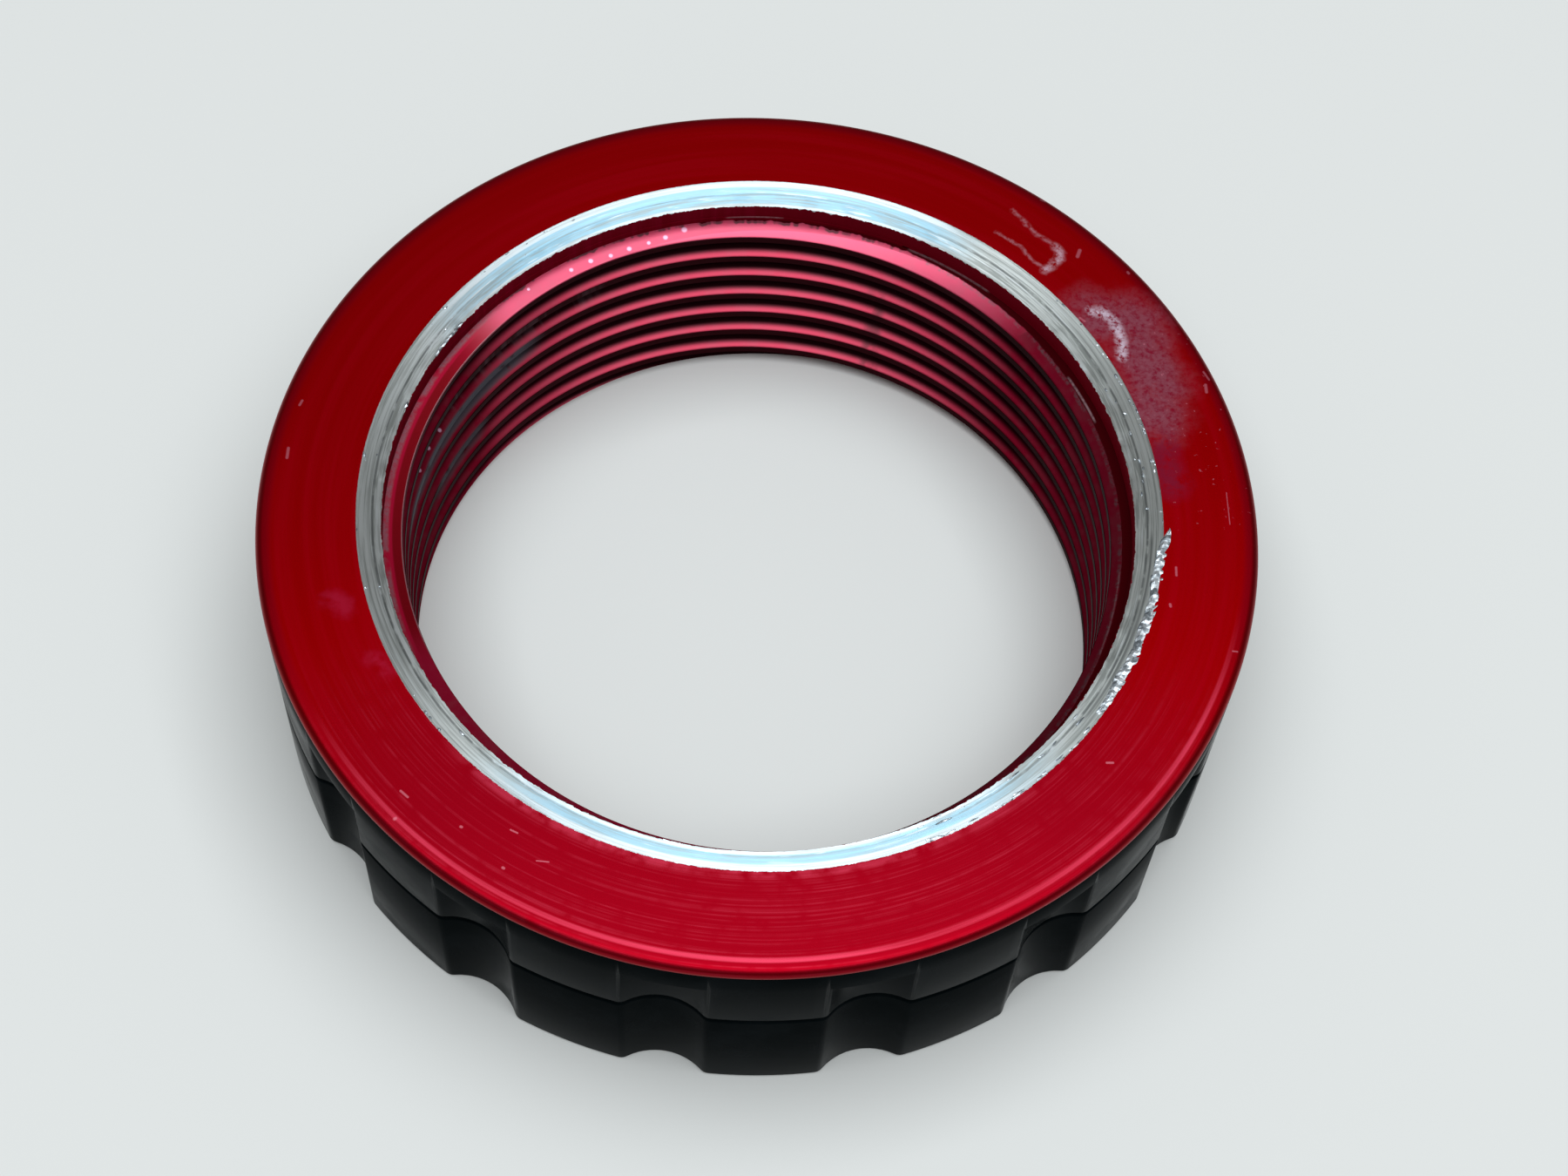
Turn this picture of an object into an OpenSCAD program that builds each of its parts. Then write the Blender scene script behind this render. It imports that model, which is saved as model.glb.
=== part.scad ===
// Flanged, internally threaded sleeve that carries two notched wrench rings.
// The upper ring is fixed under the flange. The lower one is the lock ring, which
// turns about Z. The origin is the centre of the foot, with +Z up the bore.

/* [Overall size] */
// Diameter over the flange and over the lobes of both rings
outer_dia = 44; // [43:0.5:46]
// Height from the foot of the lock ring to the face of the flange
total_height = 11.6; // [11:0.1:13]

/* [Flanged sleeve] */
// Thickness of the flange
flange_thickness = 0.45; // [0.4:0.05:0.7]
// Radius that rounds the upper edge of the flange
rim_radius = 0.4; // [0.2:0.05:0.4]
// Outside diameter of the sleeve, where the two rings sit
sleeve_dia = 35.4; // [34.8:0.1:36]
// Diameter of the plain recess at the top of the bore
recess_dia = 33.1; // [32.4:0.1:33.6]
// Depth of the plain recess where its ledge meets the thread
recess_depth = 1.25; // [0.5:0.05:2]
// Rise of the ledge from the thread out to the wall of the recess
ledge_rise = 0.15; // [0:0.05:0.3]
// Diameter of the bore over the crests of its thread
thread_minor_dia = 31.38; // [30.5:0.02:31.8]
// Chamfer at the lower mouth of the bore
mouth_chamfer = 0.25; // [0.1:0.05:0.6]

/* [Notched rings] */
// Height of the lock ring at its lobes
lock_ring_height = 6.35; // [5:0.05:7]
// Open seam between the lobes of the two rings
seam_gap = 0.15; // [0.1:0.05:0.3]
// Plain round band of the upper ring above its notches
shoulder_height = 1.45; // [1:0.05:2.5]
// Diameter of the raised land that the lock ring clamps with
land_dia = 40.4; // [38:0.1:41]
// Break on the outer edges of the rings
edge_break = 0.15; // [0.05:0.05:0.3]

/* [Wrench notches] */
// Number of notches round each ring
notch_count = 16; // [8:1:20]
// Depth of a notch below the lobes
notch_depth = 0.75; // [0.5:0.05:1]
// Diameter of the cutter that mills a notch
cutter_dia = 5.4; // [4:0.1:6]
// Radius that blends a notch into the lobes beside it
corner_radius = 0.5; // [0.2:0.05:0.7]

/* [Fits] */
// Radial clearance between the lock ring and the sleeve
running_clearance = 0.05; // [0.02:0.01:0.1]
// Axial gap over the land of the lock ring when it is tight
land_clearance = 0.03; // [0.02:0.01:0.05]

/* [Hidden] */
$fn = 180;
past = 1;

outer_r = outer_dia / 2;
sleeve_r = sleeve_dia / 2;
recess_r = recess_dia / 2;
thread_r = thread_minor_dia / 2;
lock_bore_r = sleeve_r + running_clearance;
land_r = land_dia / 2;

flange_z = total_height - flange_thickness;
ledge_z = total_height - recess_depth;
upper_z = lock_ring_height + seam_gap;
land_z = upper_z - land_clearance;
notch_top_z = flange_z - shoulder_height;

// The cutter runs parallel to Z, outside the ring, and reaches in by notch_depth.
cutter_r = cutter_dia / 2;
cutter_x = outer_r - notch_depth + cutter_r;
// A corner circle touches the lobe circle from inside and the cutter from outside.
corner_x = outer_r - corner_radius;
corner_reach = cutter_r + corner_radius;
corner_angle = acos((corner_x ^ 2 + cutter_x ^ 2 - corner_reach ^ 2) / (2 * corner_x * cutter_x));
mouth_x = cutter_x + 2 * cutter_r;

// A point at this distance from the axis, at the corner's angle above or below X
function at_corner(distance, side) =
    [distance * cos(corner_angle), side * distance * sin(corner_angle)];

module notch_outline() {
    difference() {
        union() {
            translate([cutter_x, 0]) circle(r = cutter_r);
            polygon([[cutter_x, 0], at_corner(corner_x, 1), at_corner(mouth_x, 1),
                     at_corner(mouth_x, -1), at_corner(corner_x, -1)]);
        }
        for (side = [-1, 1]) translate(at_corner(corner_x, side)) circle(r = corner_radius);
    }
}

module notches(top_z) {
    for (i = [0 : notch_count - 1])
        rotate(i * 360 / notch_count)
            translate([0, 0, -past])
                linear_extrude(top_z + past) notch_outline();
}

module flange_profile() {
    translate([sleeve_r - past, flange_z])
        square([outer_r - rim_radius - sleeve_r + past, flange_thickness]);
    translate([sleeve_r - past, flange_z])
        square([outer_r - sleeve_r + past, flange_thickness - rim_radius]);
    intersection() {
        translate([outer_r - rim_radius, total_height - rim_radius]) circle(r = rim_radius);
        translate([outer_r - rim_radius, flange_z]) square([rim_radius, flange_thickness]);
    }
}

module sleeve_profile() {
    polygon([[thread_r + mouth_chamfer, 0], [sleeve_r, 0], [sleeve_r, total_height],
             [recess_r, total_height], [recess_r, ledge_z + ledge_rise], [thread_r, ledge_z],
             [thread_r, mouth_chamfer]]);
}

module flanged_sleeve() {
    color([0.6, 0, 0.08]) rotate_extrude() {
        sleeve_profile();
        flange_profile();
    }
}

module upper_ring() {
    color([0.05, 0.05, 0.06]) difference() {
        rotate_extrude()
            polygon([[sleeve_r, upper_z], [outer_r - edge_break, upper_z],
                     [outer_r, upper_z + edge_break], [outer_r, flange_z], [sleeve_r, flange_z]]);
        notches(notch_top_z);
    }
}

module lock_ring() {
    color([0.05, 0.05, 0.06]) difference() {
        rotate_extrude()
            polygon([[lock_bore_r, 0], [outer_r - edge_break, 0], [outer_r, edge_break],
                     [outer_r, lock_ring_height - edge_break],
                     [outer_r - edge_break, lock_ring_height],
                     [land_r, lock_ring_height], [land_r, land_z], [lock_bore_r, land_z]]);
        notches(lock_ring_height + past);
    }
}

flanged_sleeve();
upper_ring();
lock_ring();
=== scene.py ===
import math
import random

import bmesh
import bpy
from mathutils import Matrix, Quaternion, Vector


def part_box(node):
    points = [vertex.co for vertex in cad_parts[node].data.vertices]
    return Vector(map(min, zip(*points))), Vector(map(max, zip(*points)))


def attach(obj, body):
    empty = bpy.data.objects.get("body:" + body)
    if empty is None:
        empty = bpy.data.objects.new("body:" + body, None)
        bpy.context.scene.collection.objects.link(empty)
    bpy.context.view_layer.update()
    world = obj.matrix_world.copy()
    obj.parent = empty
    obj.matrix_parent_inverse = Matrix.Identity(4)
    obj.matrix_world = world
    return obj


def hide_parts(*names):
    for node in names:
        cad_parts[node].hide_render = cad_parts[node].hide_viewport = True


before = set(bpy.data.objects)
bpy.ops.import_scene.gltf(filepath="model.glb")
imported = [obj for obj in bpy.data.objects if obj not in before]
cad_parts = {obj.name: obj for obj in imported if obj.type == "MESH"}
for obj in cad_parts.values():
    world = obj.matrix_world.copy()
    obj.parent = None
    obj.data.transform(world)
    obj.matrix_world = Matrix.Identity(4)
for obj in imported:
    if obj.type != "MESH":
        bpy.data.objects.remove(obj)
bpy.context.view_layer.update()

# ---------------------------------------------------------------- sizes, in millimetres

MM = 0.001
TAU = 2 * math.pi


def node_box(node):
    """The low and the high corner of a CAD node."""
    low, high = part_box(node)
    return low / MM, high / MM


SLEEVE_BOX = node_box("flanged_sleeve")
UPPER_BOX = node_box("upper_ring")
LOCK_BOX = node_box("lock_ring")

OUTER_R = SLEEVE_BOX[1].x
FACE_Z = SLEEVE_BOX[1].z
FLANGE_Z = UPPER_BOX[1].z
UPPER_Z = UPPER_BOX[0].z
LAND_Z = LOCK_BOX[1].z

# Flanged sleeve. Near the edge its face falls by the rim's drop, and the edge is rounded.
SLEEVE_R = 17.7
RECESS_R = 16.55
CREST_R = 15.69
LEDGE_INNER_Z = 10.35
LEDGE_OUTER_Z = 10.5
RIM_RADIUS = 0.36
RIM_WIDTH = 0.42
RIM_DROP = 0.035
RIM_BLEND = 0.25
MOUTH_CHAMFER = 0.25
LEDGE_BREAK = 0.05
FOOT_BREAK = 0.12
FLANGE_BREAK = 0.03

# Thread in the bore. Its cutter reaches into the bore by the overrun.
PITCH = 1.5
GROOVE_WIDTH = 1.125
GROOVE_DEPTH = 0.87
GROOVE_ROOT = 0.12
GROOVE_LIP = 0.04
GROOVE_ROUND = 0.05
GROOVE_ENTRY = 0.02
GROOVE_OVERRUN = 0.4
GROOVE_START_Z = -1.63
GROOVE_TURNS = 9

# Bare band, turned a little off centre, with a shallow track in it
BAND_CENTRE = Vector((0.02, 0.27))
BAND_R = 17.72
BAND_DEPTH = 0.05
BAND_OVERRUN = 0.6
TRACK_R = BAND_R - 0.7
TRACK_FLOOR = 0.03
TRACK_MOUTH = 0.08
TRACK_DEPTH = 0.014
MOUTH_RAGGED = 0.06

# Notched rings
LOCK_TOP_Z = 6.35
NOTCH_TOP_Z = 9.7
NOTCH_END_STEP = 0.01
LAND_R = 20.2
LOCK_BORE_R = 17.75
EDGE_BREAK = 0.14
BORE_BREAK = 0.08
LAND_BREAK = 0.05
NOTCH_COUNT = 16
NOTCH_DEPTH = 0.75
CUTTER_R = 2.7
CORNER_R = 0.5
OUTER_WALL_R = OUTER_R - 0.5

# Steps right round the sleeve, and along one lobe, one corner and half a notch
SLEEVE_STEPS = 288
LOBE_STEPS = 10
CORNER_STEPS = 5
NOTCH_STEPS = 7

# Angles, in degrees, past which an edge is shaded as a crease
SLEEVE_CREASE = 18
RING_CREASE = 35

# How near two points are one point, and a point is on the wall of the recess
WELD = 0.003
SAME_POINT = 0.004
ON_WALL = 0.01


# ---------------------------------------------------------------- modelling helpers

def pick_verts(test):
    """Selects only the vertices that pass the test."""
    bpy.ops.mesh.select_all(action="DESELECT")
    bpy.ops.mesh.select_mode(type="VERT")
    mesh = bpy.context.edit_object.data
    shape = bmesh.from_edit_mesh(mesh)
    for vert in shape.verts:
        if test(vert):
            vert.select_set(True)
    bmesh.update_edit_mesh(mesh)


def round_corner(r, z, offset, segments):
    """Rounds the corner of a profile at that radius and height."""
    pick_verts(lambda v: max(abs(v.co.x / MM - r), abs(v.co.z / MM - z)) < SAME_POINT)
    bpy.ops.mesh.bevel(affect="VERTICES", offset=offset * MM, segments=segments)


def start_profile(name, points, rounds=()):
    """Starts a piece as a closed profile of (radius, height) points, and stays in edit mode."""
    bpy.ops.object.select_all(action="DESELECT")
    bpy.ops.mesh.primitive_plane_add(size=MM)
    piece = bpy.context.object
    piece.name = name
    piece.data.name = name
    bpy.ops.object.mode_set(mode="EDIT")
    bpy.ops.mesh.select_mode(type="VERT")
    bpy.ops.mesh.merge(type="CENTER")
    bpy.ops.transform.translate(value=(points[0][0] * MM, 0, points[0][1] * MM))
    for (r0, z0), (r1, z1) in zip(points, points[1:]):
        step = ((r1 - r0) * MM, 0, (z1 - z0) * MM)
        bpy.ops.mesh.extrude_vertices_move(TRANSFORM_OT_translate={"value": step})
    pick_verts(lambda v: len(v.link_edges) == 1)
    bpy.ops.mesh.edge_face_add()
    for corner in rounds:
        round_corner(*corner)
    return piece


def weld(close_ends=False):
    """Merges doubles, closes open ends where asked, and turns the faces outwards."""
    bpy.ops.mesh.select_all(action="SELECT")
    bpy.ops.mesh.remove_doubles(threshold=WELD * MM)
    if close_ends:
        bpy.ops.mesh.select_all(action="SELECT")
        bpy.ops.mesh.fill_holes(sides=0)
        bpy.ops.mesh.select_all(action="SELECT")
    bpy.ops.mesh.normals_make_consistent(inside=False)


def spin_round():
    """Turns the whole profile right round the bore's axis."""
    bpy.ops.mesh.select_all(action="SELECT")
    bpy.ops.mesh.spin(steps=SLEEVE_STEPS, angle=TAU, center=(0, 0, 0), axis=(0, 0, 1))
    weld()


def sweep(steps, angle):
    """Spins the selection anticlockwise about the bore's axis, and selects where it ends."""
    bpy.ops.mesh.spin(steps=steps, angle=-angle, center=(0, 0, 0), axis=(0, 0, 1))


def object_mode():
    """Leaves edit mode."""
    bpy.ops.object.mode_set(mode="OBJECT")


def select_only(piece):
    """Selects this piece alone, and makes it the active one."""
    bpy.ops.object.select_all(action="DESELECT")
    piece.select_set(True)
    bpy.context.view_layer.objects.active = piece


def apply_modifier(piece, kind, **settings):
    """Adds a modifier, sets it up and applies it."""
    modifier = piece.modifiers.new(kind.lower(), kind)
    for name, value in settings.items():
        setattr(modifier, name, value)
    select_only(piece)
    bpy.ops.object.modifier_apply(modifier=modifier.name)


def carve(piece, cutter):
    """Cuts the cutter out of the piece and throws the cutter away."""
    apply_modifier(piece, "BOOLEAN", operation="DIFFERENCE", solver="EXACT", object=cutter)
    bpy.data.meshes.remove(cutter.data)


def smooth(piece, degrees):
    """Shades the piece smooth, with creases where its faces turn by more than the angle."""
    select_only(piece)
    bpy.ops.object.shade_smooth_by_angle(angle=math.radians(degrees))


def face_material(piece, material, test):
    """Gives a second material to the faces whose centre, in millimetres, passes the test."""
    piece.data.materials.append(material)
    for face in piece.data.polygons:
        if test(face.center / MM):
            face.material_index = 1


def dress(piece, material, body, node=None):
    """Gives the piece its material, its body and what it stands for."""
    piece.data.materials.clear()
    piece.data.materials.append(material)
    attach(piece, body)
    if node:
        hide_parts(node)


# ---------------------------------------------------------------- flanged sleeve

def turned_sleeve():
    """The sleeve before its thread: bore, ledge, recess, flange and outside, as one profile."""
    rim_in = OUTER_R - RIM_RADIUS - RIM_WIDTH
    profile = [
        (CREST_R + MOUTH_CHAMFER, 0.0),
        (SLEEVE_R, 0.0),
        (SLEEVE_R, FLANGE_Z),
        (OUTER_R, FLANGE_Z),
        (OUTER_R, FACE_Z - RIM_DROP),
        (rim_in, FACE_Z),
        (RECESS_R, FACE_Z),
        (RECESS_R, LEDGE_OUTER_Z),
        (CREST_R, LEDGE_INNER_Z),
        (CREST_R, MOUTH_CHAMFER),
    ]
    rounds = [
        (OUTER_R, FACE_Z - RIM_DROP, RIM_RADIUS, 8),
        (rim_in, FACE_Z, RIM_BLEND, 4),
        (CREST_R, LEDGE_INNER_Z, LEDGE_BREAK, 1),
        (SLEEVE_R, 0.0, FOOT_BREAK, 2),
        (OUTER_R, FLANGE_Z, FLANGE_BREAK, 2),
    ]
    piece = start_profile("threaded_sleeve", profile, rounds)
    spin_round()
    object_mode()
    return piece


def thread_cutter():
    """The helical groove as a solid: its section is drawn at angle 0 and screwed upwards."""
    half = GROOVE_WIDTH / 2
    lip_r, lip_half = CREST_R + GROOVE_LIP, half - GROOVE_LIP * 0.6
    root_r, root_half = CREST_R + GROOVE_DEPTH, GROOVE_ROOT / 2
    flank = [
        (CREST_R - GROOVE_OVERRUN, half + 3 * GROOVE_LIP),
        (CREST_R - GROOVE_ENTRY, half + GROOVE_LIP),
        (lip_r, lip_half),
        (root_r, root_half),
    ]
    section = [(r, GROOVE_START_Z - z) for r, z in flank]
    section += [(r, GROOVE_START_Z + z) for r, z in reversed(flank)]
    rounds = []
    for side in (-1, 1):
        rounds.append((lip_r, GROOVE_START_Z + side * lip_half, GROOVE_ROUND, 2))
        rounds.append((root_r, GROOVE_START_Z + side * root_half, GROOVE_ROUND, 3))
    cutter = start_profile("thread_cutter", section, rounds)
    object_mode()
    apply_modifier(
        cutter, "SCREW",
        axis="Z", angle=TAU, screw_offset=PITCH * MM, iterations=GROOVE_TURNS,
        steps=SLEEVE_STEPS, render_steps=SLEEVE_STEPS, use_smooth_shade=False,
    )
    bpy.ops.object.mode_set(mode="EDIT")
    weld(close_ends=True)
    object_mode()
    return cutter


def band_cutter():
    """The facing tool's sweep: it skims the mouth off centre and leaves a shallow track."""
    skim = FACE_Z - BAND_DEPTH
    above = FACE_Z + 0.1
    inner = RECESS_R - BAND_OVERRUN
    section = [
        (BAND_R + 0.02, above),
        (BAND_R, FACE_Z + 0.004),
        (BAND_R - 0.03, skim + 0.02),
        (BAND_R - 0.34, skim + 0.002),
        (TRACK_R + TRACK_MOUTH, skim),
        (TRACK_R + TRACK_FLOOR, skim - TRACK_DEPTH),
        (TRACK_R - TRACK_FLOOR, skim - TRACK_DEPTH),
        (TRACK_R - TRACK_MOUTH, skim + 0.002),
        (inner, skim - 0.01),
        (inner, above),
    ]
    cutter = start_profile("band_cutter", section)
    spin_round()
    bpy.ops.transform.translate(value=(BAND_CENTRE.x * MM, BAND_CENTRE.y * MM, 0))
    object_mode()
    return cutter


def ragged_mouth(piece):
    """Tears the inner edge of the bare band a little, and lifts its burr."""
    rng = random.Random(3)
    for vert in piece.data.vertices:
        r, z = vert.co.xy.length / MM, vert.co.z / MM
        if abs(r - RECESS_R) < ON_WALL and z > LEDGE_OUTER_Z + 0.5:
            pull = rng.uniform(0, MOUTH_RAGGED) * rng.random()
            vert.co.xy *= (r - pull) / r
            vert.co.z += rng.uniform(-0.5, 0.8) * pull * MM


def in_thread(centre):
    """Whether a face of the sleeve belongs to the thread or its ledge."""
    return centre.xy.length < RECESS_R - 0.002 and centre.z < LEDGE_OUTER_Z + 0.1


def threaded_sleeve():
    """The finished sleeve, with its bare band and its thread."""
    piece = turned_sleeve()
    carve(piece, band_cutter())
    ragged_mouth(piece)
    carve(piece, thread_cutter())
    smooth(piece, SLEEVE_CREASE)
    return piece


# ---------------------------------------------------------------- notched rings

CUTTER_X = OUTER_R - NOTCH_DEPTH + CUTTER_R
CORNER_X = OUTER_R - CORNER_R
REACH = CUTTER_R + CORNER_R
CORNER_ANGLE = math.acos((CORNER_X**2 + CUTTER_X**2 - REACH**2) / (2 * CORNER_X * CUTTER_X))
# The corner's arc meets the cutter's arc on the line between their centres.
MEETING_Y = CORNER_X * math.sin(CORNER_ANGLE) * CUTTER_R / REACH
MEETING_X = CUTTER_X - (CUTTER_X - CORNER_X * math.cos(CORNER_ANGLE)) * CUTTER_R / REACH
MEETING_ANGLE = math.atan2(MEETING_Y, MEETING_X)


def notched_edge(angle):
    """Distance of the notched outline from the axis, in a direction given as an angle."""
    pitch = TAU / NOTCH_COUNT
    off = abs((angle + pitch / 2) % pitch - pitch / 2)
    if off >= CORNER_ANGLE:
        return OUTER_R
    if off >= MEETING_ANGLE:
        turn = CORNER_ANGLE - off
        return CORNER_X * math.cos(turn) + math.sqrt(CORNER_R**2 - (CORNER_X * math.sin(turn))**2)
    return CUTTER_X * math.cos(off) - math.sqrt(CUTTER_R**2 - (CUTTER_X * math.sin(off))**2)


def notched_ring(name, profile, rounds, notch_top):
    """Sweeps a profile round in steps that fit the notches, then sinks the notches."""
    piece = start_profile(name, profile, rounds)
    bpy.ops.mesh.select_all(action="SELECT")
    half_notch = (NOTCH_STEPS, MEETING_ANGLE)
    corner = (CORNER_STEPS, CORNER_ANGLE - MEETING_ANGLE)
    lobe = (LOBE_STEPS, TAU / NOTCH_COUNT - 2 * CORNER_ANGLE)
    for _ in range(NOTCH_COUNT):
        for steps, angle in (half_notch, corner, lobe, corner, half_notch):
            sweep(steps, angle)
    weld()
    object_mode()
    for vert in piece.data.vertices:
        r = vert.co.xy.length
        if r > OUTER_WALL_R * MM and vert.co.z < notch_top * MM:
            sink = (OUTER_R - notched_edge(math.atan2(vert.co.y, vert.co.x))) * MM
            vert.co.xy *= (r - sink) / r
    smooth(piece, RING_CREASE)
    return piece


def clamp_ring():
    """The turning lock ring: notched right through, with the land it clamps by on top."""
    profile = [
        (LOCK_BORE_R, 0.0),
        (OUTER_R, 0.0),
        (OUTER_R, LOCK_TOP_Z),
        (LAND_R, LOCK_TOP_Z),
        (LAND_R, LAND_Z),
        (LOCK_BORE_R, LAND_Z),
    ]
    rounds = [
        (OUTER_R, 0.0, EDGE_BREAK, 3),
        (OUTER_R, LOCK_TOP_Z, EDGE_BREAK, 3),
        (LOCK_BORE_R, 0.0, BORE_BREAK, 2),
        (LAND_R, LAND_Z, LAND_BREAK, 2),
    ]
    return notched_ring("notched_lock_ring", profile, rounds, FACE_Z)


def shoulder_ring():
    """The fixed ring: its notches run up to a plain round shoulder under the flange."""
    profile = [
        (SLEEVE_R, UPPER_Z),
        (OUTER_R, UPPER_Z),
        (OUTER_R, NOTCH_TOP_Z - NOTCH_END_STEP),
        (OUTER_R, NOTCH_TOP_Z + NOTCH_END_STEP),
        (OUTER_R, FLANGE_Z),
        (SLEEVE_R, FLANGE_Z),
    ]
    rounds = [
        (OUTER_R, UPPER_Z, EDGE_BREAK, 3),
        (OUTER_R, FLANGE_Z, FLANGE_BREAK, 2),
    ]
    return notched_ring("notched_upper_ring", profile, rounds, NOTCH_TOP_Z)


# ---------------------------------------------------------------- burrs on the bare band

# The torn strip: where it starts and ends, in degrees, its steps and its section
STRIP_START = -25.6
STRIP_END = 6.9
STRIP_STEPS = 58
STRIP_SECTION = (
    (BAND_R - 0.44, FACE_Z - 0.08),
    (BAND_R - 0.38, FACE_Z - 0.01),
    (BAND_R - 0.24, FACE_Z + 0.03),
    (BAND_R - 0.12, FACE_Z + 0.01),
    (BAND_R + 0.04, FACE_Z),
    (BAND_R + 0.08, FACE_Z - 0.06),
)
STRIP_MIDDLE_R = BAND_R - 0.2
STRIP_HEART_Z = FACE_Z - 0.03
STRIP_JITTER = 0.02

# Where loose chips gather along the band: angle, spread either side, count and slimness
CHIP_PLACES = (
    (-42, 15, 34, 4.4),
    (-132, 10, 6, 2.0),
    (20, 13, 34, 1.6),
    (42, 10, 8, 1.4),
    (150, 20, 14, 1.6),
    (-165, 14, 8, 1.6),
)
INNER_SHARE = 0.25

# Where single chips stand on the band's inner edge, with their size and slimness
LIP_PLACES = (156.4, 157.6, 158.7, 159.9, 161.0, 162.3, 173.4)
LIP_CHIP = (0.1, 2.4)


def on_band(turn, r, z):
    """The point, in metres, at that angle, radius and height about the band's own centre."""
    x = BAND_CENTRE.x + r * math.cos(turn)
    y = BAND_CENTRE.y + r * math.sin(turn)
    return Vector((x, y, z)) * MM


def tear(share, r, z, rng):
    """Where a point of the strip's section goes, a share of the way along the strip.

    The strip thins towards both ends and wanders in slow waves. Its far end flares and lifts.
    """
    thin = min(1.0, 5 * share + 0.35, 13 * (1 - share) + 0.05)
    swell = 1.0 + 0.2 * math.sin(37 * share) * math.sin(11 * share)
    r = STRIP_MIDDLE_R + (r - STRIP_MIDDLE_R) * thin * swell
    r += 0.03 * math.sin(23 * share) + 0.1 * share
    r += 0.42 * max(0.0, share - 0.88) * 8 * share
    r += rng.uniform(-STRIP_JITTER, STRIP_JITTER)
    if z > FACE_Z - 0.05:
        lift = 0.35 * max(0.0, share - 0.86)
        z = STRIP_HEART_Z + (z - STRIP_HEART_Z) * thin + lift
        z += rng.uniform(-STRIP_JITTER, STRIP_JITTER)
    return r, z


def torn_strip(rng):
    """A torn strip of metal along part of the band's outer edge, thin at its ends."""
    start = math.radians(STRIP_START)
    run = math.radians(STRIP_END) - start
    piece = start_profile("edge_burrs", STRIP_SECTION)
    bpy.ops.mesh.select_all(action="SELECT")
    sweep(STRIP_STEPS, run)
    weld(close_ends=True)
    object_mode()
    for vert in piece.data.vertices:
        angle = math.atan2(vert.co.y, vert.co.x)
        r, z = tear(angle / run, vert.co.xy.length / MM, vert.co.z / MM, rng)
        vert.co = on_band(angle + start, r, z)
    return piece


def chip(turn, r, size, slimness, rng):
    """One torn chip that lies along the band."""
    place = on_band(turn, r, FACE_Z - BAND_DEPTH + size * 0.35)
    bpy.ops.object.select_all(action="DESELECT")
    bpy.ops.mesh.primitive_ico_sphere_add(subdivisions=1, radius=size * MM, location=(0, 0, 0))
    piece = bpy.context.object
    stretch = slimness * rng.uniform(0.5, 1.4)
    wide = rng.uniform(0.6, 1.0)
    high = rng.uniform(0.4, 0.8)
    heading = turn + math.pi / 2 + rng.uniform(-0.12, 0.12)
    for vert in piece.data.vertices:
        jitter = 1 + rng.uniform(-0.35, 0.35)
        along, across = vert.co.x * stretch * jitter, vert.co.y * wide * jitter
        vert.co = place + Vector((
            along * math.cos(heading) - across * math.sin(heading),
            along * math.sin(heading) + across * math.cos(heading),
            vert.co.z * high * jitter,
        ))
    return piece


def loose_chips(rng):
    """Chips along the band, a share of them near its inner edge, and the single ones there."""
    chips = []
    for place, spread, count, slimness in CHIP_PLACES:
        for _ in range(count):
            turn = math.radians(place + rng.uniform(-spread, spread))
            r = BAND_R - rng.uniform(0.0, 0.16)
            if rng.random() < INNER_SHARE:
                r = RECESS_R + rng.uniform(0.25, 0.6)
            chips.append(chip(turn, r, rng.uniform(0.03, 0.08), slimness, rng))
    for place in LIP_PLACES:
        turn = math.radians(place)
        r = RECESS_R + 0.03 - BAND_CENTRE.y * math.sin(turn)
        chips.append(chip(turn, r, *LIP_CHIP, rng))
    return chips


def edge_burrs():
    """The torn strip and the loose chips, joined into one piece."""
    rng = random.Random(7)
    piece = torn_strip(rng)
    chips = loose_chips(rng)
    select_only(piece)
    for item in chips:
        item.select_set(True)
    bpy.ops.object.join()
    return piece


# ---------------------------------------------------------------- shader maths

# The Mix node's sockets for colours
MIX_SHARE, MIX_FIRST, MIX_SECOND, MIX_RESULT = 0, 6, 7, 2


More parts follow.
